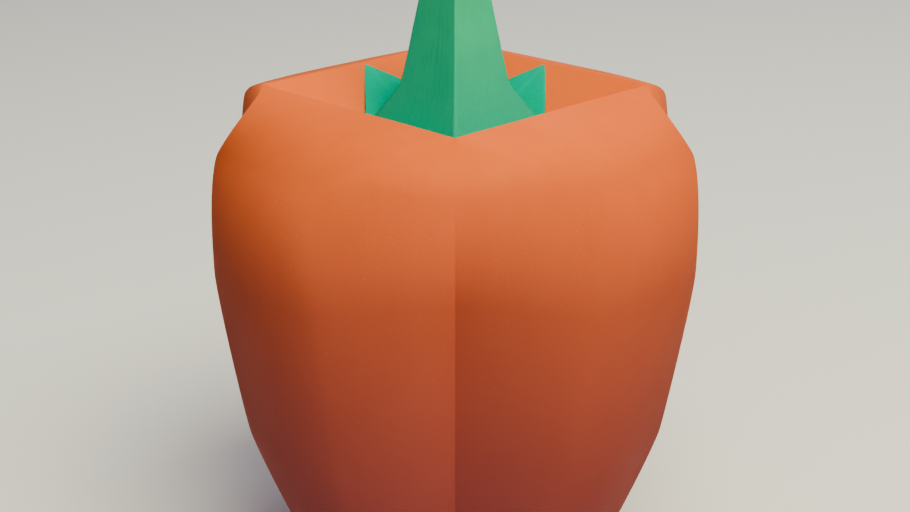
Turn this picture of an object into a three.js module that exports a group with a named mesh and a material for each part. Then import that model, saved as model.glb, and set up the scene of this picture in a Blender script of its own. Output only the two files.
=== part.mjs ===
// Bell pepper: a fruit of four lobes, a calyx of four pointed sepals that lies in the recess at its top,
// and a four-edged stem. Millimetres, +Z up. The origin is on the surface that the pepper stands on,
// below the middle of the fruit. The grooves between the lobes lie on the X and Y axes.
import * as THREE from "three";

// Driving dimensions. A section is one closed ring around the axis, the same in all four quarters.
// groove: its radius and height on the X and Y axes, where two lobes meet.
// lobe: the corner of a lobe that is nearer to the X axis, as x, y and height.
// bend: how softly the surface turns there on its way down, from 0, a sharp fold, to 1, fully round.
const RIM_RADIUS = 34.6;
const RIM_HEIGHT = 91.4;
const RIM_CORNER = 1.8;
const RIM_BEND = 0.15;
const LIP_WIDTH = 1.7;
const LIP_DEPTH = 1.5;
const SEAT_RADIUS = 16.5;
const SEAT_HEIGHT = 82.1;
const DIMPLE_HEIGHT = 4.2;

const SHOULDER = { groove: [36.8, 81.6], lobe: [40.2, 22.3, 84.5], bend: 0.35 };
const BELLY = { groove: [37.6, 63.2], lobe: [41.3, 22.3, 63.2], bend: 0.35 };
const WAIST = { groove: [32.2, 32.4], lobe: [36.0, 19.7, 32.4], bend: 0.35 };
const ANKLE = { groove: [24.4, 11.0], lobe: [28.0, 15.9, 9.6], bend: 0.5 };
const FOOT_OUTSIDE = { groove: [17.2, 5.2], lobe: [19.2, 13.0, 0], bend: 0.6 };
const FOOT_INSIDE = { groove: [9.6, 4.8], lobe: [12.0, 9.2, 0], bend: 0.5 };

const STEM_FOOT_RADIUS = 15.9;
const STEM_FOOT_HEIGHT = 84.0;
const STEM_NECK_RADIUS = 9.7;
const STEM_NECK_HEIGHT = 91.5;
const STEM_NECK_BEND = 0.35;
const STEM_WAIST_RADIUS = 5.7;
const STEM_WAIST_HEIGHT = 109.0;
const STEM_WAIST_BEND = 0.5;
const STEM_END_RADIUS = 6.2;
const STEM_END_HEIGHT = 116.0;

const CALYX_GAP = 0.3;
const CALYX_THICKNESS = 1.3;
const CALYX_EDGE_OVERHANG = 0.2;
const CALYX_EDGE_LIFT = 0.1;
const CALYX_UNDERCUT = 0.4;
const SEPAL_REACH = 16.6;
const SEPAL_POINT = 1.0;
const SEPAL_TIP_HEIGHT = 90.7;
const SEPAL_TIP_THICKNESS = 0.7;

const FLOOR_HEIGHT = 0;
const SHARP = 0;

// How a piece is faceted: the facets between two corners of a section and between two sections, and how
// softly the surface turns at a lobe's corners, from 0 to 1.
const FRUIT_FACETS = { around: 4, down: 4, roundness: 0.5 };
const GREEN_FACETS = { around: 3, down: 2, roundness: 0.1 };

const FRUIT_COLOUR = 0xd97843;
const CALYX_COLOUR = 0x3fae86;
const STEM_COLOUR = 0x4ba87a;
const SKIN_ROUGHNESS = 0.5;
const GREEN_ROUGHNESS = 0.6;
const UP = new THREE.Vector3(0, 0, 1);
const QUARTERS = 4;
const CORNERS_AROUND = 3 * QUARTERS;

// The direction in which a line of points passes one of them: along the line at its two ends.
function headingAt(points, index) {
  const here = points[index];
  const before = points[Math.max(index - 1, 0)];
  const after = points[Math.min(index + 1, points.length - 1)];
  const arriving = new THREE.Vector3().subVectors(here, before).normalize();
  const leaving = new THREE.Vector3().subVectors(after, here).normalize();
  return arriving.add(leaving).normalize();
}

// A point between two neighbours of a line of points, at share from 0 to 1 of the way.
function softPoint(points, bends, index, share) {
  const from = points[index];
  const to = points[index + 1];
  const length = from.distanceTo(to);
  const rest = 1 - share;
  return new THREE.Vector3()
    .addScaledVector(from, (1 + 2 * share) * rest * rest)
    .addScaledVector(headingAt(points, index), length * bends[index] * share * rest * rest)
    .addScaledVector(to, share * share * (3 - 2 * share))
    .addScaledVector(headingAt(points, index + 1), -length * bends[index + 1] * share * share * rest);
}

// A section's point at a turn counted in quarters from the X axis.
function sectionPoint({ groove, lobe }, turn, roundness) {
  const [radius, grooveHeight] = groove;
  const [x, y, z] = lobe;
  const corners = [
    new THREE.Vector3(radius, 0, grooveHeight),
    new THREE.Vector3(x, y, z),
    new THREE.Vector3(y, x, z),
    new THREE.Vector3(0, radius, grooveHeight),
  ];
  const quarter = Math.floor(turn);
  const spans = corners.length - 1;
  const place = (turn - quarter) * spans;
  const index = Math.min(Math.floor(place), spans - 1);
  const bends = [1, roundness, roundness, 1];
  return softPoint(corners, bends, index, place - index).applyAxisAngle(UP, (quarter * Math.PI) / 2);
}

// A square section with its corners on the X and Y axes; corner is the run of side that counts as corner.
function square(radius, height, bend, corner = radius / 3) {
  return { groove: [radius, height], lobe: [radius - corner, corner, height], bend };
}

// The middle of a closed end.
function middle(height) {
  return { groove: [0, height], lobe: [0, 0, height], bend: SHARP };
}

// A closed body that runs down through a list of sections, from one closed end to the other.
function bodyThrough(sections, { around, down, roundness }) {
  const turns = CORNERS_AROUND * around;
  const bends = sections.map((section) => section.bend);
  const columns = Array.from({ length: turns }, (_, i) =>
    sections.map((section) => sectionPoint(section, (QUARTERS * i) / turns, roundness)),
  );
  const positions = [...columns[0][0]];
  for (let index = 0; index < sections.length - 1; index++)
    for (let step = index === 0 ? 1 : 0; step < down; step++)
      for (const column of columns) {
        const point = softPoint(column, bends, index, step / down);
        positions.push(point.x, point.y, Math.max(point.z, FLOOR_HEIGHT));
      }
  positions.push(...columns[0].at(-1));

  const ring = (row, i) => 1 + row * turns + (i % turns);
  const lastRow = (sections.length - 1) * down - 2;
  const last = positions.length / 3 - 1;
  const triangles = [];
  for (let i = 0; i < turns; i++) {
    triangles.push(0, ring(0, i), ring(0, i + 1));
    for (let row = 0; row < lastRow; row++) {
      triangles.push(ring(row, i), ring(row + 1, i), ring(row + 1, i + 1));
      triangles.push(ring(row, i), ring(row + 1, i + 1), ring(row, i + 1));
    }
    triangles.push(ring(lastRow, i), last, ring(lastRow, i + 1));
  }
  const geometry = new THREE.BufferGeometry();
  geometry.setAttribute("position", new THREE.Float32BufferAttribute(positions, 3));
  geometry.setIndex(triangles);
  geometry.computeVertexNormals();
  return geometry;
}

// A mesh with its node's name, in one plain colour.
function namedMesh(name, geometry, color, roughness) {
  const mesh = new THREE.Mesh(
    geometry,
    new THREE.MeshStandardMaterial({ color, roughness, metalness: 0, flatShading: true }),
  );
  mesh.name = name;
  return mesh;
}

// The fruit, from the middle of the recess over the rim and down the lobes to the dimple underneath.
function fruit() {
  const sections = [
    middle(SEAT_HEIGHT),
    square(SEAT_RADIUS, SEAT_HEIGHT, SHARP, RIM_CORNER),
    square(RIM_RADIUS - LIP_WIDTH, RIM_HEIGHT - LIP_DEPTH, SHARP, RIM_CORNER),
    square(RIM_RADIUS, RIM_HEIGHT, RIM_BEND, RIM_CORNER),
    SHOULDER,
    BELLY,
    WAIST,
    ANKLE,
    FOOT_OUTSIDE,
    FOOT_INSIDE,
    middle(DIMPLE_HEIGHT),
  ];
  return namedMesh("fruit", bodyThrough(sections, FRUIT_FACETS), FRUIT_COLOUR, SKIN_ROUGHNESS);
}

// The calyx: a square plate whose four corners rise as sepals along the slopes of the recess.
function calyx() {
  const top = STEM_FOOT_HEIGHT - CALYX_GAP;
  const bottom = top - CALYX_THICKNESS;
  const edge = (height, tipHeight) => ({
    groove: [STEM_FOOT_RADIUS + CALYX_EDGE_OVERHANG, height],
    lobe: [SEPAL_REACH, SEPAL_REACH - SEPAL_POINT, tipHeight],
    bend: SHARP,
  });
  const sections = [
    middle(top),
    square(STEM_FOOT_RADIUS, top, SHARP),
    edge(top, SEPAL_TIP_HEIGHT),
    edge(bottom + CALYX_EDGE_LIFT, SEPAL_TIP_HEIGHT - SEPAL_TIP_THICKNESS),
    square(STEM_FOOT_RADIUS - CALYX_UNDERCUT, bottom, SHARP),
    middle(bottom),
  ];
  return namedMesh("calyx", bodyThrough(sections, GREEN_FACETS), CALYX_COLOUR, GREEN_ROUGHNESS);
}

// The stem: four flat sides that flare into the foot, and a cut end that is a little wider than its waist.
function stem() {
  const sections = [
    middle(STEM_END_HEIGHT),
    square(STEM_END_RADIUS, STEM_END_HEIGHT, SHARP),
    square(STEM_WAIST_RADIUS, STEM_WAIST_HEIGHT, STEM_WAIST_BEND),
    square(STEM_NECK_RADIUS, STEM_NECK_HEIGHT, STEM_NECK_BEND),
    square(STEM_FOOT_RADIUS, STEM_FOOT_HEIGHT, SHARP),
    middle(STEM_FOOT_HEIGHT),
  ];
  return namedMesh("stem", bodyThrough(sections, GREEN_FACETS), STEM_COLOUR, GREEN_ROUGHNESS);
}

const pepper = new THREE.Group();
pepper.add(fruit(), calyx(), stem());

export default pepper;
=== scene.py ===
"""Bell pepper: a four-lobed orange fruit, a green calyx in the recess at its top, and a four-edged stem.

The scene is in metres, and the sections and grids that shape the pieces are in millimetres. +Z is up, and
the pepper stands at the origin with its grooves on the X and Y axes.
"""

import logging
import math
from dataclasses import asdict, dataclass, field
from enum import Enum, IntEnum

import bpy
import numpy as np
from mathutils import Euler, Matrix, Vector, noise


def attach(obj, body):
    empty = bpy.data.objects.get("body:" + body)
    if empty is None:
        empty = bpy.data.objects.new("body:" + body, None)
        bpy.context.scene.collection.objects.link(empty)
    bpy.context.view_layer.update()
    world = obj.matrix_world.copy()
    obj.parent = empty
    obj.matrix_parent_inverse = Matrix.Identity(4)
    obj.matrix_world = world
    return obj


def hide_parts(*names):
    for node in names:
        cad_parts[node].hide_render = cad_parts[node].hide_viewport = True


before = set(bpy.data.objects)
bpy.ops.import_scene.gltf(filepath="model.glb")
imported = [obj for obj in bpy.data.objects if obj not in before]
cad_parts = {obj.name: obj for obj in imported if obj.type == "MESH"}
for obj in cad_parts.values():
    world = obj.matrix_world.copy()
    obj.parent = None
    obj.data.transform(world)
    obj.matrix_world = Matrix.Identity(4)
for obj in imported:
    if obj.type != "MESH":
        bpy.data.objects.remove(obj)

LOG = logging.getLogger("bell_pepper")
MM = 0.001
QUARTERS = 4
SPANS_PER_QUARTER = 3
SHORTEST = 1e-12

Colour = tuple[float, float, float]
Number = float | bpy.types.NodeSocket
Paint = Colour | bpy.types.NodeSocket


class Part(Enum):
    """The pieces of the pepper: each value is its CAD node, and its material slot."""

    FRUIT = ("fruit", "skin")
    CALYX = ("calyx", "calyx")
    STEM = ("stem", "stem")


class Surface(Enum):
    """Which of a piece's materials a face wears, by the material's number."""

    MAIN = 0
    CUT = 1


class FruitRing(IntEnum):
    """The fruit's sections that its build refers to, by their number from the top."""

    SEAT = 1
    RIM = 2
    DIMPLE = 9


class StemRing(IntEnum):
    """The stem's sections that its build refers to, by their number from the top."""

    RIND = 3
    WAIST = 5
    FOOT = 7


@dataclass(frozen=True)
class Section:
    """One closed ring around the axis, the same in all four quarters, in millimetres.

    groove is its radius and height where two lobes meet, and lobe is the corner of a lobe nearer to the X
    axis. bend says how softly the surface turns there on its way down, from 0, a fold, to 1, fully round,
    and above is the part of it that shows before the ring is reached. steps is the number of rows from
    there to the next section, and lead is how many rows before the ring its even shading is read.
    """

    groove: tuple[float, float]
    lobe: tuple[float, float, float]
    bend: float = 0.0
    steps: int = 1
    above: float = 1.0
    lead: int = 0

    def corners(self) -> np.ndarray:
        """Lists the ring's corners over one quarter.

        Returns:
            Four points, from groove to groove.
        """
        radius, height = self.groove
        x, y, z = self.lobe
        return np.array([(radius, 0, height), (x, y, z), (y, x, z), (0, radius, height)], float)

    @staticmethod
    def square(
        radius: float, height: float, bend: float = 0.0, steps: int = 1, corner: float = 0.0
    ) -> "Section":
        """Makes a square section with its corners on the axes.

        Args:
            radius: the distance of a corner from the axis.
            height: the height of the whole ring.
            bend: how softly the surface turns there.
            steps: the number of rows to the next section.
            corner: how much of each side's run counts as corner; a third of it if this is 0.

        Returns:
            The section.
        """
        run = corner or radius / SPANS_PER_QUARTER
        return Section((radius, height), (radius - run, run, height), bend, steps)

    @staticmethod
    def middle(height: float, steps: int = 1) -> "Section":
        """Returns the middle of a closed end."""
        return Section((0.0, height), (0.0, 0.0, height), steps=steps)


@dataclass(frozen=True)
class Wave:
    """A slow unevenness of a surface.

    size is the size of a wave across the axis in millimetres, and stretch is how many times longer it is
    along the axis. seed says which of many such surfaces it is, and swing how far it goes to each side.
    """

    size: float
    seed: float
    stretch: float = 1.0
    swing: float = 1.0


def unit(vectors: np.ndarray) -> np.ndarray:
    """Returns the vectors at length one; a vector of no length stays as it is."""
    lengths = np.linalg.norm(vectors, axis=-1, keepdims=True)
    return vectors / np.maximum(lengths, SHORTEST)


def heading(points: np.ndarray, at: int) -> np.ndarray:
    """Returns the direction in which a line of points passes through one of them."""
    before, after = max(at - 1, 0), min(at + 1, len(points) - 1)
    return unit(unit(points[at] - points[before]) + unit(points[after] - points[at]))


def soft_line(
    points: np.ndarray, leaving: float, arriving: float, index: int, share: np.ndarray
) -> np.ndarray:
    """Passes a smooth curve through a line of points.

    Args:
        points: the points, along the first axis; further axes are done together.
        leaving: how softly the curve turns at the start of the span.
        arriving: how softly it turns at the end of the span.
        index: the span, from points[index] to the next.
        share: how far along the span, from 0 to 1.

    Returns:
        One point for each share, along the first axis.
    """
    start, end = points[index], points[index + 1]
    length = np.linalg.norm(end - start, axis=-1, keepdims=True)
    s = share.reshape((-1,) + (1,) * start.ndim)
    rest = 1 - s
    return (
        start * (1 + 2 * s) * rest * rest
        + heading(points, index) * length * leaving * s * rest * rest
        + end * s * s * (3 - 2 * s)
        - heading(points, index + 1) * length * arriving * s * s * rest
    )


@dataclass
class Skin:
    """A closed surface that runs down through sections, from one closed end to the other.

    grid holds its points, in rows down the surface and columns around it. place is each row's position
    among the sections, and turn is each column's angle, were the columns of a quarter evenly spread.
    """

    sections: list[Section]
    around: int
    roundness: float
    crowding: float = 1.0
    grid: np.ndarray = field(init=False)
    turn: np.ndarray = field(init=False)
    place: np.ndarray = field(init=False)

    def __post_init__(self) -> None:
        """Works out the points, their rows' places and their columns' turns."""
        rings = np.stack([self._ring(section) for section in self.sections])
        rows, places = [], []
        for index, section in enumerate(self.sections[:-1]):
            below = self.sections[index + 1]
            share = np.arange(section.steps) / section.steps
            rows.append(soft_line(rings, section.bend, below.bend * below.above, index, share))
            places.append(index + share)
        rows.append(rings[-1:])
        places.append(np.array([len(self.sections) - 1.0]))
        self.grid = np.concatenate(rows)
        self.place = np.concatenate(places)
        spans = [span + share for span, share in enumerate(self._shares())]
        quarter = np.concatenate(spans) / SPANS_PER_QUARTER
        self.turn = np.concatenate([number + quarter for number in range(QUARTERS)]) * math.pi / 2

    def _shares(self) -> list[np.ndarray]:
        """Returns how far along each span of a quarter its columns stand, closer at the grooves."""
        even = np.arange(self.around) / self.around
        return [even**self.crowding, even, 1 - (1 - even) ** self.crowding]

    def _ring(self, section: Section) -> np.ndarray:
        """Works out a section's points.

        Args:
            section: the section.

        Returns:
            Its points all the way round, counted from the X axis.
        """
        corners = section.corners()
        bends = (1.0, self.roundness, self.roundness, 1.0)
        spans = [
            soft_line(corners, bends[span], bends[span + 1], span, share)
            for span, share in enumerate(self._shares())
        ]
        quarter = np.concatenate(spans)
        rings = []
        for number in range(QUARTERS):
            c, s = math.cos(number * math.pi / 2), math.sin(number * math.pi / 2)
            rings.append(quarter @ np.array([[c, s, 0], [-s, c, 0], [0, 0, 1]]))
        return np.concatenate(rings)

    def soften_corners(self, reach: int) -> None:
        """Rounds the edges that run down the surface.

        Args:
            reach: how many columns to each side count in a point's mean.
        """
        weights = np.hanning(2 * reach + 3)[1:-1]
        weights /= weights.sum()
        total = np.zeros_like(self.grid)
        for offset, weight in zip(range(-reach, reach + 1), weights):
            total += weight * np.roll(self.grid, offset, axis=1)
        self.grid = total

    def normals(self) -> np.ndarray:
        """Works out which way the surface faces.

        Returns:
            The outward normal at every point of the grid.
        """
        across = np.roll(self.grid, -1, axis=1) - np.roll(self.grid, 1, axis=1)
        down = np.gradient(self.grid, axis=0)
        return unit(np.cross(down, across))

    def even_normals(
        self, chosen: list[int], edge: int, merged: int = 0, fold: float = 1.0
    ) -> np.ndarray:
        """Turns the normals evenly from each corner of some sections to the next, as soft flesh shades.

        Args:
            chosen: the sections that count; rows above and below all of them keep their own normals.
            edge: how many columns a fold at the X and Y axes takes to each side.
            merged: how many of the chosen sections have no such fold.
            fold: how strongly it shows in the others, where 1 is as strongly as its shape gives.

        Returns:
            A normal at every point of the grid.
        """
        normals = self.normals()
        rows = np.flatnonzero(np.isin(self.place, chosen))
        sampled = rows - [self.sections[number].lead for number in chosen]
        sampled[[0, -1]] += [1, -1]  # one row inside the folds that bound the even part
        span, run = self.around, SPANS_PER_QUARTER * self.around
        quarter = np.array([0, edge, span, 2 * span, run - edge])
        stops = np.concatenate([quarter + run * number for number in range(QUARTERS)])
        cage = normals[sampled][:, stops]
        for groove in range(0, len(stops), len(quarter)):
            sides = [groove - 1, groove + 1]
            middle = cage[:, sides].mean(axis=1, keepdims=True)
            cage[:, sides] = unit(middle + fold * (cage[:, sides] - middle))
            lobes = unit(cage[:merged, groove - 2] + cage[:merged, groove + 2])
            cage[:merged, [groove - 1, groove, groove + 1]] = lobes[:, None]
        even = normals.copy()
        strides = np.linalg.norm(np.diff(self.grid, axis=0), axis=-1).mean(axis=1)
        travel = np.concatenate([[0], np.cumsum(strides)])
        for axis in range(3):
            lines = [np.interp(travel, travel[rows], line) for line in cage[..., axis].T]
            for row in range(rows[0], rows[-1] + 1):
                values = [line[row] for line in lines]
                even[row, :, axis] = np.interp(self.turn, self.turn[stops], values, period=2 * math.pi)
        return unit(even)

    def push(self, distance: np.ndarray) -> None:
        """Moves every point along its normal; the two ends stay closed.

        Args:
            distance: how far outward each point of the grid goes, in millimetres.
        """
        distance = np.array(distance, float)
        distance[0], distance[-1] = 0, 0
        self.grid = self.grid + self.normals() * distance[..., None]

    def waves(self, wave: Wave) -> np.ndarray:
        """Works out a slow unevenness over the surface.

        Args:
            wave: the kind of unevenness.

        Returns:
            A value from about -swing to swing at every point of the grid.
        """
        scaled = self.grid / np.array([wave.size, wave.size, wave.size * wave.stretch]) + wave.seed
        flat = [noise.noise(Vector(point)) for point in scaled.reshape(-1, 3)]
        return wave.swing * np.array(flat).reshape(self.grid.shape[:2])

    def _faces(self) -> list[tuple[int, ...]]:
        """Lists the mesh's faces, where each closed end is one point and the rows lie between them.

        Returns:
            The numbers of each face's points, band by band from the top.
        """
        rows, columns = self.grid.shape[0] - 2, self.grid.shape[1]
        last = rows * columns + 1
        starts = [1 + row * columns for row in range(rows)]
        pairs = [(column, (column + 1) % columns) for column in range(columns)]
        faces = [(0, 1 + a, 1 + b) for a, b in pairs]
        for top, bottom in zip(starts, starts[1:]):
            faces += [(top + a, bottom + a, bottom + b, top + b) for a, b in pairs]
        faces += [(starts[-1] + a, last, starts[-1] + b) for a, b in pairs]
        return faces

    @staticmethod
    def _per_point(values: np.ndarray) -> np.ndarray:
        """Returns the values of a grid in the order of the mesh's points."""
        inner = values[1:-1].reshape(-1, *values.shape[2:])
        return np.concatenate([values[0, :1], inner, values[-1, :1]])

    def mesh(
        self, name: str, floor: float | None = None, shading: np.ndarray | None = None
    ) -> bpy.types.Object:
        """Makes the piece as a closed mesh object.

        Args:
            name: the piece's name.
            floor: the height that no point goes under, in millimetres.
            shading: a normal for every point of the grid, where its own normals don't serve.

        Returns:
            The new object, in the scene, smooth shaded.
        """
        grid = self.grid.copy()
        if floor is not None:
            grid[..., 2] = np.maximum(grid[..., 2], floor)
        data = bpy.data.meshes.new(name)
        data.from_pydata((self._per_point(grid) * MM).tolist(), [], self._faces())
        data.update()
        data.shade_smooth()
        if shading is not None:
            data.normals_split_custom_set_from_vertices(self._per_point(shading).tolist())
        piece = bpy.data.objects.new(name, data)
        bpy.context.scene.collection.objects.link(piece)
        return piece

    def store(self, piece: bpy.types.Object, name: str, values: np.ndarray) -> None:
        """Keeps one number for every point of the grid on the mesh.

        Args:
            piece: the object that this grid was made into.
            name: the name under which its material reads the numbers.
            values: the numbers, in rows and columns like the grid.
        """
        attribute = piece.data.attributes.new(name, "FLOAT", "POINT")
        attribute.data.foreach_set("value", self._per_point(values).astype(np.float32))


@dataclass(frozen=True)
class Mottle:
    """How soft blotches look: size in metres, how many times longer they are along Z, and detail."""

    size: float
    stretch: float = 1.0
    detail: float = 3.0


@dataclass(frozen=True)
class Specks:
    """How small dots look: a dot's cell in metres, its radius in cells, and the share that shows."""

    size: float
    radius: float
    share: float


@dataclass(frozen=True)
class Fibres:
    """How fine lines look: width in metres, and how many times longer they are along Z."""

    size: float
    stretch: float


Pattern = Mottle | Specks | Fibres


class Graph:
    """A node tree being built, with short ways to add and join its nodes."""

    MIX_COLOURS = (6, 7)
    MIX_RESULT = 2

    def __init__(self, tree: bpy.types.NodeTree) -> None:
        """Starts on an empty tree."""
        self.tree = tree
        tree.nodes.clear()

    def _set(self, socket: bpy.types.NodeSocket, value: object) -> None:
        """Joins an output socket to an input, or gives the input a value of its own.

        Args:
            socket: the input.
            value: the output socket or the value.
        """
        if isinstance(value, bpy.types.NodeSocket):
            self.tree.links.new(value, socket)
        else:
            socket.default_value = value

    def add(
        self, kind: str, inputs: dict[str | int, object] | None = None, **settings: object
    ) -> bpy.types.Node:
        """Adds a node.

        Args:
            kind: the node's type in Blender.
            inputs: a value or an output socket for each input, by the input's name or number.
            settings: the node's own settings.

        Returns:
            The new node.
        """
        node = self.tree.nodes.new(kind)
        for name, value in settings.items():
            setattr(node, name, value)
        for name, value in (inputs or {}).items():
            self._set(node.inputs[name], value)
        return node

    def effect(
        self, tree: bpy.types.NodeTree, place: bpy.types.NodeSocket, pattern: Pattern
    ) -> bpy.types.NodeSocket:
        """Adds a shared effect with its own values.

        Args:
            tree: the effect's node group.
            place: the point of the surface.
            pattern: the values of the group's other inputs.

        Returns:
            The effect's mask.
        """
        node = self.tree.nodes.new("ShaderNodeGroup")
        node.node_tree = tree
        self._set(node.inputs["Place"], place)
        for name, value in asdict(pattern).items():
            self._set(node.inputs[name.capitalize()], value)
        return node.outputs["Mask"]

    def mix(self, factor: Number, first: Paint, second: Paint) -> bpy.types.NodeSocket:
        """Mixes two colours.

        Args:
            factor: how much of the second colour, from 0 to 1.
            first: a colour or an output socket.
            second: a colour or an output socket.

        Returns:
            The mixed colour.
        """
        node = self.add("ShaderNodeMix", {0: factor}, data_type="RGBA")
        for number, paint in zip(self.MIX_COLOURS, (first, second)):
            is_socket = isinstance(paint, bpy.types.NodeSocket)
            self._set(node.inputs[number], paint if is_socket else (*paint, 1.0))
        return node.outputs[self.MIX_RESULT]

    def lay(self, under: Paint, over: Paint, mask: Number, share: float) -> bpy.types.NodeSocket:
        """Lays a colour over another.

        Args:
            under: the colour below.
            over: the colour on top.
            mask: where the top colour shows, from 0 to 1.
            share: how much of it shows where the mask is 1.

        Returns:
            The colour of both.
        """
        return self.mix(self.math("MULTIPLY", mask, share), under, over)

    def math(self, operation: str, first: Number, second: Number = 0.0) -> bpy.types.NodeSocket:
        """Joins two numbers.

        Args:
            operation: the operation's name in Blender.
            first: a number or an output socket.
            second: a number or an output socket.

        Returns:
            The result.
        """
        return self.add("ShaderNodeMath", {0: first, 1: second}, operation=operation).outputs[0]

    def ramp(
        self, value: Number, low: float, high: float, to_low: float = 0.0, to_high: float = 1.0
    ) -> bpy.types.NodeSocket:
        """Maps a number from one range to another, smoothly and without leaving it.

        Args:
            value: the number or an output socket.
            low: the start of its range.
            high: the end of its range.
            to_low: what the start becomes.
            to_high: what the end becomes.

        Returns:
            The mapped number.
        """
        inputs = {"Value": value, "From Min": low, "From Max": high, "To Min": to_low, "To Max": to_high}
        return self.add("ShaderNodeMapRange", inputs, interpolation_type="SMOOTHSTEP").outputs[0]

    def stored(self, name: str) -> bpy.types.NodeSocket:
        """Returns the number that the mesh keeps under that name."""
        return self.add("ShaderNodeAttribute", attribute_name=name).outputs["Fac"]

    def place(self) -> bpy.types.NodeSocket:
        """Returns the point of the surface, in metres in the pepper's own frame."""
        return self.add("ShaderNodeTexCoord").outputs["Object"]


class Effects:
    """Effects that several finishes share. Each is a node group with one mask from 0 to 1, built once."""

    BLOTCH_RANGE = (0.28, 0.72)
    BLOTCH_ROUGHNESS = 0.55
    LINE_RANGE = (0.35, 0.65)
    LINE_ROUGHNESS = 0.5
    LINE_DETAIL = 3.0
    DOT_CORE = 0.35
    DOT_SCATTER = 0.9

    def __init__(self) -> None:
        """Builds the groups."""
        self.mottle = self._mottle()
        self.specks = self._specks()
        self.fibres = self._fibres()

    @staticmethod
    def _start(name: str, pattern: Pattern) -> tuple[Graph, bpy.types.Node, bpy.types.Node]:
        """Starts a group.

        Args:
            name: the group's name.
            pattern: the first values of its inputs, which are Place and one for each value.

        Returns:
            The graph, its input node and its output node, which has one input, Mask.
        """
        tree = bpy.data.node_groups.new(name, "ShaderNodeTree")
        graph = Graph(tree)
        tree.interface.new_socket("Place", in_out="INPUT", socket_type="NodeSocketVector")
        for label, value in asdict(pattern).items():
            socket = tree.interface.new_socket(
                label.capitalize(), in_out="INPUT", socket_type="NodeSocketFloat"
            )
            socket.default_value = value
        tree.interface.new_socket("Mask", in_out="OUTPUT", socket_type="NodeSocketFloat")
        return graph, tree.nodes.new("NodeGroupInput"), tree.nodes.new("NodeGroupOutput")

    @staticmethod
    def _scale(graph: Graph, start: bpy.types.Node) -> bpy.types.NodeSocket:
        """Returns how many times the group's Size input goes into a metre."""
        return graph.math("DIVIDE", 1.0, start.outputs["Size"])

    @staticmethod
    def _stretched(graph: Graph, start: bpy.types.Node) -> bpy.types.NodeSocket:
        """Draws a group's pattern out along the Z axis.

        Args:
            graph: the group's graph.
            start: its input node, which has Place and Stretch.

        Returns:
            The point of the surface at which the pattern is read.
        """
        squeeze = graph.math("DIVIDE", 1.0, start.outputs["Stretch"])
        scale = graph.add("ShaderNodeCombineXYZ", {0: 1.0, 1: 1.0, 2: squeeze}).outputs[0]
        vectors = {0: start.outputs["Place"], 1: scale}
        return graph.add("ShaderNodeVectorMath", vectors, operation="MULTIPLY").outputs[0]

    def _mottle(self) -> bpy.types.NodeTree:
        """Builds soft blotches.

        Returns:
            The group, whose mask lies around 0.5.
        """
        graph, start, end = self._start("soft_mottle", Mottle(size=0.01, detail=4.0))
        inputs = {
            "Scale": self._scale(graph, start),
            "Vector": self._stretched(graph, start),
            "Detail": start.outputs["Detail"],
            "Roughness": self.BLOTCH_ROUGHNESS,
        }
        blotches = graph.add("ShaderNodeTexNoise", inputs).outputs[0]
        graph.tree.links.new(graph.ramp(blotches, *self.BLOTCH_RANGE), end.inputs["Mask"])
        return graph.tree

    def _specks(self) -> bpy.types.NodeTree:
        """Builds small round dots.

        Returns:
            The group, whose mask is 1 in the middle of a dot and 0 between dots.
        """
        graph, start, end = self._start("small_specks", Specks(size=0.002, radius=0.2, share=0.5))
        inputs = {
            "Vector": start.outputs["Place"],
            "Scale": self._scale(graph, start),
            "Randomness": self.DOT_SCATTER,
        }
        cells = graph.add("ShaderNodeTexVoronoi", inputs)
        core = graph.math("MULTIPLY", start.outputs["Radius"], self.DOT_CORE)
        dot = graph.add(
            "ShaderNodeMapRange",
            {"Value": cells.outputs["Distance"], "From Min": start.outputs["Radius"], "From Max": core},
            interpolation_type="SMOOTHSTEP",
        ).outputs[0]
        pick = graph.add("ShaderNodeSeparateColor", {0: cells.outputs["Color"]}).outputs[0]
        kept = graph.math("LESS_THAN", pick, start.outputs["Share"])
        graph.tree.links.new(graph.math("MULTIPLY", dot, kept), end.inputs["Mask"])
        return graph.tree

    def _fibres(self) -> bpy.types.NodeTree:
        """Builds fine lines along the Z axis.

        Returns:
            The group, whose mask is 1 on a line.
        """
        graph, start, end = self._start("fine_fibres", Fibres(size=0.0008, stretch=18.0))
        inputs = {
            "Scale": self._scale(graph, start),
            "Vector": self._stretched(graph, start),
            "Detail": self.LINE_DETAIL,
            "Roughness": self.LINE_ROUGHNESS,
        }
        lines = graph.add("ShaderNodeTexNoise", inputs).outputs[0]
        graph.tree.links.new(graph.ramp(lines, *self.LINE_RANGE), end.inputs["Mask"])
        return graph.tree


class Finish:
    """What the finishes share: how a material is started and how it gets its surface."""

    @staticmethod
    def start(name: str) -> tuple[bpy.types.Material, Graph]:
        """Starts a material.

        Args:
            name: the material's name.

        Returns:
            The material and the empty graph of its nodes.
        """
        material = bpy.data.materials.new(name)
        material.use_nodes = True
        return material, Graph(material.node_tree)

    @staticmethod
    def surface(
        graph: Graph,
        look: dict[str, object],
        height: bpy.types.NodeSocket,
        strength: float,
        depth: float,
    ) -> None:
        """Gives the material its surface.

        Args:
            graph: the material's graph.
            look: the shader's inputs, by name.
            height: the fine relief, as a share of its depth.
            strength: how much of the relief shows.
            depth: the depth of the relief, in metres.
        """
        relief = {"Strength": strength, "Distance": depth, "Height": height}
        bump = graph.add("ShaderNodeBump", relief).outputs[0]
        shader = graph.add("ShaderNodeBsdfPrincipled", {**look, "Normal": bump})
        graph.add("ShaderNodeOutputMaterial", {0: shader.outputs[0]})


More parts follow.
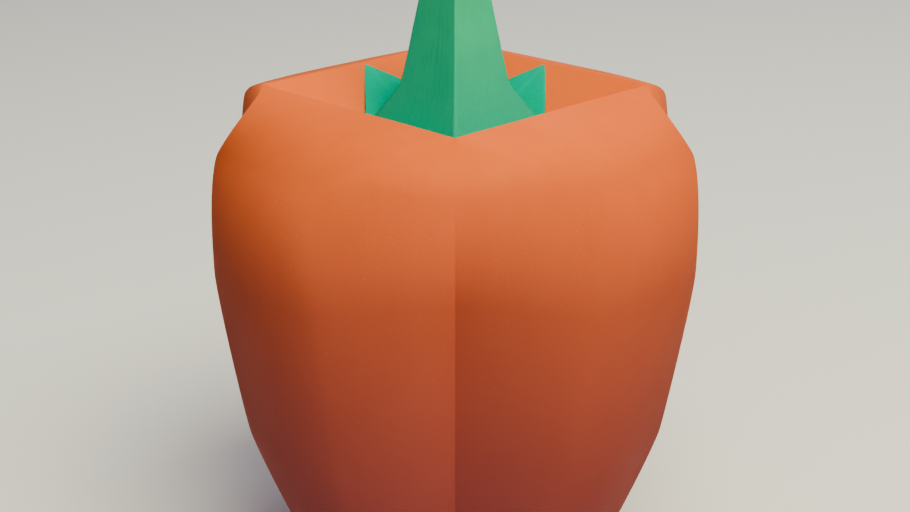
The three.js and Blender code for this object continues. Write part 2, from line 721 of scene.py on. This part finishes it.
@dataclass(frozen=True)
class SkinFinish(Finish):
    """The fruit's waxy orange skin: cooler and bluer lower down as painted shade, with blotches, faint
    streaks and pinpoint dots.
    """

    base: Colour = (0.850, 0.214, 0.097)
    deep: Colour = (0.815, 0.201, 0.089)
    warm: Colour = (0.850, 0.225, 0.103)
    # painted shade: the cooler, bluer colour that the lower body takes in place of bluish ambient light
    # in its shade
    low: Colour = (0.740, 0.202, 0.172)
    dot: Colour = (0.870, 0.330, 0.150)
    scar: Colour = (0.230, 0.110, 0.045)
    blotches: Mottle = Mottle(0.017, stretch=1.6)
    streaks: Mottle = Mottle(0.0035, stretch=5.0)
    pores: Mottle = Mottle(0.00045, detail=2.0)
    dots: Specks = Specks(0.0021, radius=0.16, share=0.45)
    streak_share: float = 0.30
    dot_share: float = 0.18
    scar_share: float = 0.90
    pore_height: float = 0.5
    dot_height: float = -0.8
    streak_height: float = 0.25
    roughness: tuple[float, float] = (0.69, 0.59)
    specular: float = 0.13
    relief_strength: float = 0.22
    relief_depth: float = 0.00008

    def build(self, effects: Effects) -> bpy.types.Material:
        """Makes the material.

        Args:
            effects: the shared effects.

        Returns:
            The material, which reads the stored numbers low, the share of painted shade lower down, and
            scar.
        """
        material, g = self.start("pepper_skin")
        place = g.place()
        blotches = g.effect(effects.mottle, place, self.blotches)
        streaks = g.effect(effects.mottle, place, self.streaks)
        dots = g.effect(effects.specks, place, self.dots)
        pores = g.effect(effects.mottle, place, self.pores)
        colour = g.mix(blotches, self.deep, self.base)
        colour = g.lay(colour, self.warm, streaks, self.streak_share)
        # painted shade: lower down the skin turns to the cooler, bluer low colour, as bluish light in
        # shade would tint it
        colour = g.mix(g.stored("low"), colour, self.low)
        colour = g.lay(colour, self.dot, dots, self.dot_share)
        colour = g.lay(colour, self.scar, g.stored("scar"), self.scar_share)
        raised = g.math("MULTIPLY", pores, self.pore_height)
        sunk = g.math("MULTIPLY", dots, self.dot_height)
        height = g.math("ADD", raised, sunk)
        height = g.math("ADD", height, g.math("MULTIPLY", streaks, self.streak_height))
        look = {
            "Base Color": colour,
            "Roughness": g.ramp(blotches, 0.0, 1.0, *self.roughness),
            "Specular IOR Level": self.specular,
        }
        self.surface(g, look, height, self.relief_strength, self.relief_depth)
        return material


@dataclass(frozen=True)
class GreenFinish(Finish):
    """Matt green tissue, lighter away from its foot, with fibres, veins, specks and a dry edge."""

    name: str
    low: Colour
    high: Colour
    pale: Colour
    dry: Colour = (0.210, 0.150, 0.055)
    fibres: Fibres = Fibres(0.0007, stretch=16.0)
    blotches: Mottle = Mottle(0.006, stretch=1.5, detail=4.0)
    specks: Specks = Specks(0.0016, radius=0.22, share=0.5)
    fibre_share: float = 0.05
    vein_share: float = 0.20
    speck_share: float = 0.16
    blotch_share: float = 0.22
    dry_share: float = 0.60
    dry_range: tuple[float, float] = (0.2, 0.9)
    height_share: float = 0.5
    roughness: tuple[float, float] = (0.61, 0.49)
    specular: float = 0.10
    relief_strength: float = 0.28
    relief_depth: float = 0.00012

    def build(self, effects: Effects) -> bpy.types.Material:
        """Makes the material.

        Args:
            effects: the shared effects.

        Returns:
            The material, which reads the stored numbers along, vein and edge.
        """
        material, g = self.start(self.name)
        place = g.place()
        fibres = g.effect(effects.fibres, place, self.fibres)
        blotches = g.effect(effects.mottle, place, self.blotches)
        specks = g.effect(effects.specks, place, self.specks)
        colour = g.mix(g.stored("along"), self.low, self.high)
        colour = g.lay(colour, self.pale, fibres, self.fibre_share)
        colour = g.lay(colour, self.pale, g.stored("vein"), self.vein_share)
        colour = g.lay(colour, self.pale, specks, self.speck_share)
        colour = g.lay(colour, self.low, blotches, self.blotch_share)
        edge = g.math("MULTIPLY", g.stored("edge"), g.ramp(blotches, *self.dry_range))
        colour = g.lay(colour, self.dry, edge, self.dry_share)
        height = g.math("MULTIPLY", g.math("ADD", fibres, blotches), self.height_share)
        look = {
            "Base Color": colour,
            "Roughness": g.ramp(fibres, 0.0, 1.0, *self.roughness),
            "Specular IOR Level": self.specular,
        }
        self.surface(g, look, height, self.relief_strength, self.relief_depth)
        return material


CALYX_GREEN = GreenFinish(
    "calyx_green",
    low=(0.012, 0.355, 0.262),
    high=(0.012, 0.530, 0.390),
    pale=(0.030, 0.580, 0.430),
)
STEM_GREEN = GreenFinish(
    "stem_green",
    low=(0.045, 0.385, 0.295),
    high=(0.120, 0.750, 0.410),
    pale=(0.080, 0.650, 0.395),
)


@dataclass(frozen=True)
class CutFinish(Finish):
    """The stem's cut end: pale moist pith inside a thin green rind."""

    pith: Colour = (0.420, 0.470, 0.230)
    ring: Colour = (0.200, 0.330, 0.110)
    dry: Colour = (0.330, 0.250, 0.120)
    grains: Specks = Specks(0.0006, radius=0.35, share=0.7)
    blotches: Mottle = Mottle(0.003, detail=4.0)
    dry_share: float = 0.50
    grain_share: float = 0.30
    roughness: tuple[float, float] = (0.62, 0.80)
    relief_strength: float = 0.60
    relief_depth: float = 0.0001

    def build(self, effects: Effects) -> bpy.types.Material:
        """Makes the material.

        Args:
            effects: the shared effects.

        Returns:
            The material, which reads the stored number along: 0 in the pith and 1 in the rind.
        """
        material, g = self.start("stem_cut")
        place = g.place()
        grains = g.effect(effects.specks, place, self.grains)
        blotches = g.effect(effects.mottle, place, self.blotches)
        colour = g.mix(g.stored("along"), self.pith, self.ring)
        colour = g.lay(colour, self.dry, blotches, self.dry_share)
        colour = g.lay(colour, self.ring, grains, self.grain_share)
        look = {"Base Color": colour, "Roughness": g.ramp(blotches, 0.0, 1.0, *self.roughness)}
        self.surface(g, look, grains, self.relief_strength, self.relief_depth)
        return material


def put_on(piece: bpy.types.Object, part: Part, *materials: bpy.types.Material) -> None:
    """Gives a piece its materials, and fixes it to the pepper in place of its CAD node.

    Args:
        piece: the piece.
        part: which part it is.
        materials: its materials, in the order of Surface.
    """
    node, slot = part.value
    for material in materials:
        piece.data.materials.append(material)
    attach(piece, "root")
    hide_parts(node)


@dataclass
class Fruit:
    """The orange fruit: recess, square rim, four lobes with sharp grooves between them, and four feet.

    Its lengths are in millimetres.
    """

    finish: SkinFinish = SkinFinish()
    rim_radius: float = 34.6
    rim_height: float = 91.4
    rim_corner: float = 1.2
    rim_bend: float = 0.06
    seat_radius: float = 15.4
    seat_height: float = 82.9
    dimple_height: float = 4.2
    scar_radius: float = 2.6
    scar_edge: float = 0.7
    scar_raggedness: Wave = Wave(1.6, seed=5.5, swing=0.35)
    # painted shade: below this height the skin blends over this many millimetres into its cooler, bluer
    # shade colour
    painted_shade_from: float = 90.0
    painted_shade_blend: float = 66.0
    unevenness: float = 0.12
    broad_wave: Wave = Wave(17.0, seed=3.1, stretch=1.6, swing=0.7)
    narrow_wave: Wave = Wave(6.0, seed=8.4, stretch=2.5, swing=0.3)
    recess_fade: float = 0.6
    around: int = 26
    crowding: float = 1.6
    roundness: float = 0.5
    groove_columns: int = 1
    rings_without_groove: int = 2
    groove_strength: float = 1.7
    shoulder: Section = Section((36.4, 81.6), (40.0, 22.2, 84.4), bend=0.8, steps=26, above=0.35)
    belly: Section = Section((36.8, 63.2), (41.3, 22.3, 63.2), bend=0.35, steps=30)
    waist: Section = Section((31.4, 32.4), (36.5, 20.0, 32.4), bend=0.35, steps=24)
    ankle: Section = Section((24.4, 11.0), (28.0, 15.9, 9.6), bend=0.5, steps=16, lead=7)
    foot_outside: Section = Section((17.2, 5.2), (19.2, 13.0, 0.0), bend=0.6, steps=12)
    foot_inside: Section = Section((9.6, 4.8), (12.0, 9.2, 0.0), bend=0.5, steps=14)

    def sections(self) -> list[Section]:
        """Lists the fruit's sections.

        Returns:
            The sections, from the middle of the recess to the dimple underneath.
        """
        corner = self.rim_corner
        return [
            Section.middle(self.seat_height, steps=3),
            Section.square(self.seat_radius, self.seat_height, steps=16, corner=corner),
            Section.square(self.rim_radius, self.rim_height, self.rim_bend, steps=22, corner=corner),
            self.shoulder,
            self.belly,
            self.waist,
            self.ankle,
            self.foot_outside,
            self.foot_inside,
            Section.middle(self.dimple_height),
        ]

    def _scar(self, skin: Skin) -> np.ndarray:
        """Works out where the ragged blossom scar is on the underside.

        Args:
            skin: the fruit's surface.

        Returns:
            A value from 0 to 1 at every point of the grid.
        """
        radius = np.hypot(skin.grid[..., 0], skin.grid[..., 1])
        ragged = self.scar_radius * (1 + skin.waves(self.scar_raggedness))
        under = skin.grid[..., 2] < self.rim_height / 2
        return np.clip((ragged - radius) / self.scar_edge, 0, 1) * under

    def build(self) -> bpy.types.Object:
        """Makes the fruit.

        Returns:
            The mesh, which keeps the place of its scar and how low each point is, as the share of painted
            shade that it takes.
        """
        skin = Skin(self.sections(), self.around, self.roundness, self.crowding)
        outside = list(range(FruitRing.RIM, FruitRing.DIMPLE + 1))
        even = skin.even_normals(
            outside, self.groove_columns, self.rings_without_groove, self.groove_strength
        )
        softening = even - skin.normals()
        flesh = np.clip((skin.place - FruitRing.SEAT) / self.recess_fade, 0, 1)[:, None]
        uneven = skin.waves(self.broad_wave) + skin.waves(self.narrow_wave)
        skin.push(self.unevenness * flesh * uneven)
        piece = skin.mesh("pepper_fruit", floor=0.0, shading=unit(softening + skin.normals()))
        skin.store(piece, "scar", self._scar(skin))
        # painted shade: the lower a point, the more of the skin's cooler, bluer shade colour it takes
        skin.store(piece, "low", np.clip((self.painted_shade_from - skin.grid[..., 2]) / self.painted_shade_blend, 0, 1))
        return piece

    def dress(self, piece: bpy.types.Object, effects: Effects) -> None:
        """Gives the fruit its skin and its place."""
        put_on(piece, Part.FRUIT, self.finish.build(effects))


@dataclass
class Calyx:
    """The calyx: a flat plate under the stem whose corners rise as four pointed sepals.

    Its lengths are in millimetres. How far down its surface something lies is counted in sections.
    """

    finish: GreenFinish = CALYX_GREEN
    fold_radius: float = 15.9
    fold_inset: float = 0.1
    fold_step: float = 0.25
    fold_rise: float = 0.05
    top_height: float = 83.9
    seat_height: float = 82.7
    seat_inset: float = 0.6
    sepal_reach: float = 17.1
    sepal_point: float = 0.35
    tip_height: float = 90.95
    tip_thickness: float = 0.35
    edge_thickness: float = 0.8
    edge_bend: float = 0.1
    outline_bend: float = 0.5
    upper_inset: float = 0.15
    lower_inset: float = 0.2
    around: int = 22
    roundness: float = 0.02
    vein_height: float = 0.22
    vein_width: float = 0.7
    vein_taper: float = 0.5
    side_vein_share: float = 0.35
    side_vein_gap: float = 2.2
    side_vein_width: float = 0.35
    side_vein_start: float = 0.8
    side_vein_spread: float = 0.8
    side_vein_slant: float = 6.5
    unevenness: Wave = Wave(4.0, seed=2.2, swing=0.12)
    relief_end: float = 2.6
    fold_colour: float = 0.25
    tip_colour_gain: float = 0.45
    dry_place: float = 2.4
    dry_width: float = 0.55
    dryness: float = 0.8

    def _edge(self, down: float, inset: float, bend: float, steps: int) -> Section:
        """Makes a section along the plate's edge.

        Args:
            down: how far down the edge it lies, from 0 to 1.
            inset: how far it lies inside the plate's outline.
            bend: how softly the surface turns there.
            steps: the number of rows to the next section.

        Returns:
            The section.
        """
        fold = self.top_height + self.fold_rise - down * self.edge_thickness
        reach = self.sepal_reach - inset
        tip = self.tip_height - down * self.tip_thickness
        return Section(
            (self.fold_radius + self.fold_step - inset, fold),
            (reach, reach - self.sepal_point, tip),
            bend,
            steps,
        )

    def sections(self) -> list[Section]:
        """Lists the calyx's sections.

        Returns:
            The sections, from the middle of its top to the middle of its underside.
        """
        return [
            Section.middle(self.top_height, steps=3),
            Section.square(self.fold_radius - self.fold_inset, self.top_height, steps=26),
            self._edge(0.0, self.upper_inset, self.edge_bend, steps=3),
            self._edge(0.5, 0.0, self.outline_bend, steps=3),
            self._edge(1.0, self.lower_inset, self.edge_bend, steps=8),
            Section.square(self.fold_radius - self.seat_inset, self.seat_height, steps=2),
            Section.middle(self.seat_height),
        ]

    def _veins(self, aside: np.ndarray, out: np.ndarray) -> np.ndarray:
        """Works out the sepals' veins.

        Args:
            aside: every point's distance from the middle of its sepal.
            out: how far along its sepal every point lies, from 0 to 1.

        Returns:
            How much of a vein is at every point, where a middle vein counts 1 and a side vein less.
        """
        middle = np.exp(-((aside / self.vein_width) ** 2))
        slanted = aside * self.side_vein_spread - out * self.side_vein_slant
        across = np.mod(slanted, self.side_vein_gap) - self.side_vein_gap / 2
        side = np.exp(-((across / self.side_vein_width) ** 2)) * (aside > self.side_vein_start)
        return middle + self.side_vein_share * side

    def build(self) -> bpy.types.Object:
        """Makes the calyx.

        Returns:
            The mesh, which keeps how far along its sepals each point is, their veins and their dry edge.
        """
        skin = Skin(self.sections(), self.around, self.roundness)
        x, y = np.abs(skin.grid[..., 0]), np.abs(skin.grid[..., 1])
        out = np.clip((x + y - self.fold_radius) / (2 * self.sepal_reach - self.fold_radius), 0, 1)
        veins = self._veins(np.abs(x - y) / math.sqrt(2), out)
        upper = np.clip(self.relief_end - skin.place, 0, 1) * np.clip(skin.place - 1, 0, 1)
        lift = self.vein_height * veins * (1 - out) ** self.vein_taper + skin.waves(self.unevenness)
        skin.push(lift * upper[:, None])
        piece = skin.mesh("pepper_calyx")
        skin.store(piece, "along", self.fold_colour + self.tip_colour_gain * out)
        skin.store(piece, "vein", np.clip(veins, 0, 1) * (out > 0))
        rim = np.exp(-(((skin.place - self.dry_place) / self.dry_width) ** 2))[:, None]
        skin.store(piece, "edge", np.clip(self.dryness * rim * out**3, 0, 1))
        return piece

    def dress(self, piece: bpy.types.Object, effects: Effects) -> None:
        """Gives the calyx its green and its place."""
        put_on(piece, Part.CALYX, self.finish.build(effects))


@dataclass
class Stem:
    """The stem: four flat sides with fine ribs, a flared foot, and a cut end with its pith.

    Its lengths are in millimetres. How far down its surface something lies is counted in sections.
    """

    finish: GreenFinish = STEM_GREEN
    cut: CutFinish = CutFinish()
    foot_radius: float = 15.9
    foot_height: float = 84.0
    foot_inset: float = 0.5
    foot_sink: float = 0.25
    neck_radius: float = 9.9
    neck_height: float = 91.5
    neck_bend: float = 0.15
    waist_radius: float = 6.0
    waist_height: float = 109.0
    waist_bend: float = 0.2
    end_radius: float = 6.4
    end_height: float = 116.0
    end_edge: float = 0.5
    end_bend: float = 0.4
    rind: float = 0.75
    rind_drop: float = 0.04
    lip_drop: float = 0.05
    lip_inset: float = 0.15
    pith_depth: float = 0.35
    pith_middle: float = 0.6
    pith_bend: float = 0.3
    rib_height: float = 0.022
    rib_spread: float = 9.0
    rib_seed: float = 1.7
    rib_drift: Wave = Wave(1.3, seed=6.6, stretch=9.0, swing=0.35)
    unevenness: Wave = Wave(7.0, seed=4.4, swing=0.08)
    relief_start: float = 3.5
    pith_edge: float = 1.5
    pith_blend: float = 1.2
    dry_place: float = 3.3
    dry_reach: float = 0.7
    around: int = 22
    edge_reach: int = 1

    def sections(self) -> list[Section]:
        """Lists the stem's sections.

        Returns:
            The sections, from the middle of its cut end to the middle of its foot.
        """
        radius, end = self.end_radius, self.end_height
        under = self.foot_height - self.foot_sink
        return [
            Section.middle(end - self.pith_depth * self.pith_middle, steps=4),
            Section.square(radius - 2 * self.rind, end - self.pith_depth, self.pith_bend, steps=3),
            Section.square(radius - self.rind, end - self.rind_drop, self.pith_bend, steps=3),
            Section.square(radius - self.lip_inset, end - self.lip_drop, self.end_bend, steps=3),
            Section.square(radius, end - self.end_edge, self.end_bend, steps=14),
            Section.square(self.waist_radius, self.waist_height, self.waist_bend, steps=26),
            Section.square(self.neck_radius, self.neck_height, self.neck_bend, steps=22),
            Section.square(self.foot_radius, self.foot_height, steps=2),
            Section.square(self.foot_radius - self.foot_inset, under),
            Section.middle(under),
        ]

    def _relief(self, skin: Skin) -> np.ndarray:
        """Works out the ribs and the unevenness of the sides.

        Args:
            skin: the stem's surface.

        Returns:
            How far they stand out at every point of the grid.
        """
        below_end = np.clip(skin.place - self.relief_start, 0, 1)
        above_foot = np.clip(StemRing.FOOT - skin.place, 0, 1)
        spread = self.rib_spread
        circle = [(math.cos(turn) * spread, math.sin(turn) * spread) for turn in skin.turn]
        ribs = np.array([noise.noise(Vector((x, y, self.rib_seed))) for x, y in circle])
        relief = self.rib_height * (ribs + skin.waves(self.rib_drift)) + skin.waves(self.unevenness)
        return (below_end * above_foot)[:, None] * relief

    def build(self) -> bpy.types.Object:
        """Makes the stem.

        Returns:
            The mesh, whose cut end wears the second material. It keeps how far up each point of the sides
            is, how far out each point of the end is, and the dry edge at the cut.
        """
        skin = Skin(self.sections(), self.around, 0.0)
        skin.soften_corners(self.edge_reach)
        sides = [StemRing.WAIST, StemRing.FOOT]
        softening = skin.even_normals(sides, self.edge_reach + 1) - skin.normals()
        skin.push(self._relief(skin))
        piece = skin.mesh("pepper_stem", shading=unit(softening + skin.normals()))
        up = (skin.grid[..., 2] - self.foot_height) / (self.end_height - self.foot_height)
        outward = np.clip((skin.place - self.pith_edge) / self.pith_blend, 0, 1)[:, None]
        on_end = (skin.place < StemRing.RIND)[:, None]
        skin.store(piece, "along", np.where(on_end, outward, np.clip(up, 0, 1)))
        skin.store(piece, "vein", np.zeros_like(up))
        near_cut = np.clip(1 - np.abs(skin.place - self.dry_place) / self.dry_reach, 0, 1)[:, None]
        skin.store(piece, "edge", near_cut * np.ones_like(up))
        surfaces = np.full(len(piece.data.polygons), Surface.MAIN.value)
        surfaces[: on_end.sum() * skin.grid.shape[1]] = Surface.CUT.value
        piece.data.polygons.foreach_set("material_index", surfaces.astype(np.int32))
        return piece

    def dress(self, piece: bpy.types.Object, effects: Effects) -> None:
        """Gives the stem its green, its cut end and its place."""
        put_on(piece, Part.STEM, self.finish.build(effects), self.cut.build(effects))


@dataclass(frozen=True)
class StudioFloor:
    """A plain pale floor, clear when it is seen from below, that throws little light on the pepper."""

    half_width: float = 4.0
    colour: Colour = (0.83, 0.82, 0.88)
    bounce: float = 0.08

    def _material(self) -> bpy.types.Material:
        """Makes the floor's material.

        Returns:
            The material, clear from below, and mostly clear to light that other surfaces throw back.
        """
        material, graph = Finish.start("pale_floor")
        shader = graph.add("ShaderNodeBsdfDiffuse", {"Color": (*self.colour, 1.0)}).outputs[0]
        clear = graph.add("ShaderNodeBsdfTransparent").outputs[0]
        under = graph.add("ShaderNodeNewGeometry").outputs["Backfacing"]
        bounced = graph.add("ShaderNodeLightPath").outputs["Is Diffuse Ray"]
        unseen = graph.math("MAXIMUM", under, graph.math("MULTIPLY", bounced, 1.0 - self.bounce))
        both = graph.add("ShaderNodeMixShader", {0: unseen, 1: shader, 2: clear}).outputs[0]
        graph.add("ShaderNodeOutputMaterial", {0: both})
        return material

    def build(self) -> None:
        """Lays the floor in the scene."""
        w = self.half_width
        data = bpy.data.meshes.new("studio_floor")
        data.from_pydata([(-w, -w, 0), (w, -w, 0), (w, w, 0), (-w, w, 0)], [], [(0, 1, 2, 3)])
        data.materials.append(self._material())
        floor = bpy.data.objects.new("studio_floor", data)
        bpy.context.scene.collection.objects.link(floor)


@dataclass(frozen=True)
class SoftLamp:
    """One square soft light: azimuth 0 is on the camera's side and 90 is on the right, in degrees."""

    name: str
    azimuth: float
    elevation: float
    power: float
    colour: Colour = (1.0, 1.0, 1.0)
    distance: float = 1.0
    size: float = 0.8

    def build(self, aim: Vector) -> None:
        """Hangs the light in the scene.

        Args:
            aim: the point that it faces.
        """
        azimuth, elevation = math.radians(self.azimuth), math.radians(self.elevation)
        flat = math.cos(elevation)
        away = Vector((math.sin(azimuth) * flat, -math.cos(azimuth) * flat, math.sin(elevation)))
        data = bpy.data.lights.new(self.name, "AREA")
        data.size = self.size
        data.energy = self.power
        data.color = self.colour
        lamp = bpy.data.objects.new(self.name, data)
        lamp.location = aim + away * self.distance
        lamp.rotation_euler = (-away).to_track_quat("-Z", "Y").to_euler()
        bpy.context.scene.collection.objects.link(lamp)


@dataclass(frozen=True)
class Studio:
    """Plain soft light: a high key in front to the right, a lower fill in front and one from behind."""

    key: SoftLamp = SoftLamp("key_light", 34.0, 62.0, power=10.2, colour=(1.0, 0.97, 0.61))
    fill: SoftLamp = SoftLamp("fill_light", 0.0, 36.0, power=0.67, colour=(1.0, 1.0, 1.10))
    back: SoftLamp = SoftLamp("back_light", 158.0, 45.0, power=1.2)
    aim_height: float = 0.05
    sky: Colour = (1.0, 1.06, 1.21)
    sky_strength: float = 0.175
    look: str = "AgX - High Contrast"

    def build(self) -> None:
        """Sets up the lights, the even light from all round and how the picture shows colours."""
        for lamp in (self.key, self.fill, self.back):
            lamp.build(Vector((0.0, 0.0, self.aim_height)))
        scene = bpy.context.scene
        scene.world = bpy.data.worlds.new("studio_air")
        scene.world.use_nodes = True
        background = scene.world.node_tree.nodes["Background"]
        background.inputs["Color"].default_value = (*self.sky, 1.0)
        background.inputs["Strength"].default_value = self.sky_strength
        scene.view_settings.view_transform = "AgX"
        scene.view_settings.look = self.look


@dataclass(frozen=True)
class PhotoCamera:
    """The photo's viewpoint: straight in front of a groove, looking down a little."""

    target_height: float = 0.0588
    distance: float = 0.3164
    elevation: float = 19.93
    lens: float = 67.65
    sensor_width: float = 36.0
    nearest: float = 0.01
    farthest: float = 50.0

    def build(self) -> None:
        """Sets the scene's camera."""
        elevation = math.radians(self.elevation)
        back = Vector((0.0, -math.cos(elevation), math.sin(elevation)))
        data = bpy.data.cameras.new("photo_camera")
        data.lens = self.lens
        data.sensor_width = self.sensor_width
        data.clip_start = self.nearest
        data.clip_end = self.farthest
        camera = bpy.data.objects.new("photo_camera", data)
        camera.location = Vector((0.0, 0.0, self.target_height)) + back * self.distance
        camera.rotation_euler = Euler((math.pi / 2 - elevation, 0.0, 0.0))
        bpy.context.scene.collection.objects.link(camera)
        bpy.context.scene.camera = camera


def main() -> None:
    """Builds the pepper and its studio."""
    logging.basicConfig(level=logging.INFO, format="%(name)s %(message)s")
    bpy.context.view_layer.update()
    effects = Effects()
    for assembly in (Fruit(), Calyx(), Stem()):
        piece = assembly.build()
        assembly.dress(piece, effects)
        LOG.info("%s: %d points", piece.name, len(piece.data.vertices))
    StudioFloor().build()
    Studio().build()
    PhotoCamera().build()


if __name__ == "__main__":
    main()
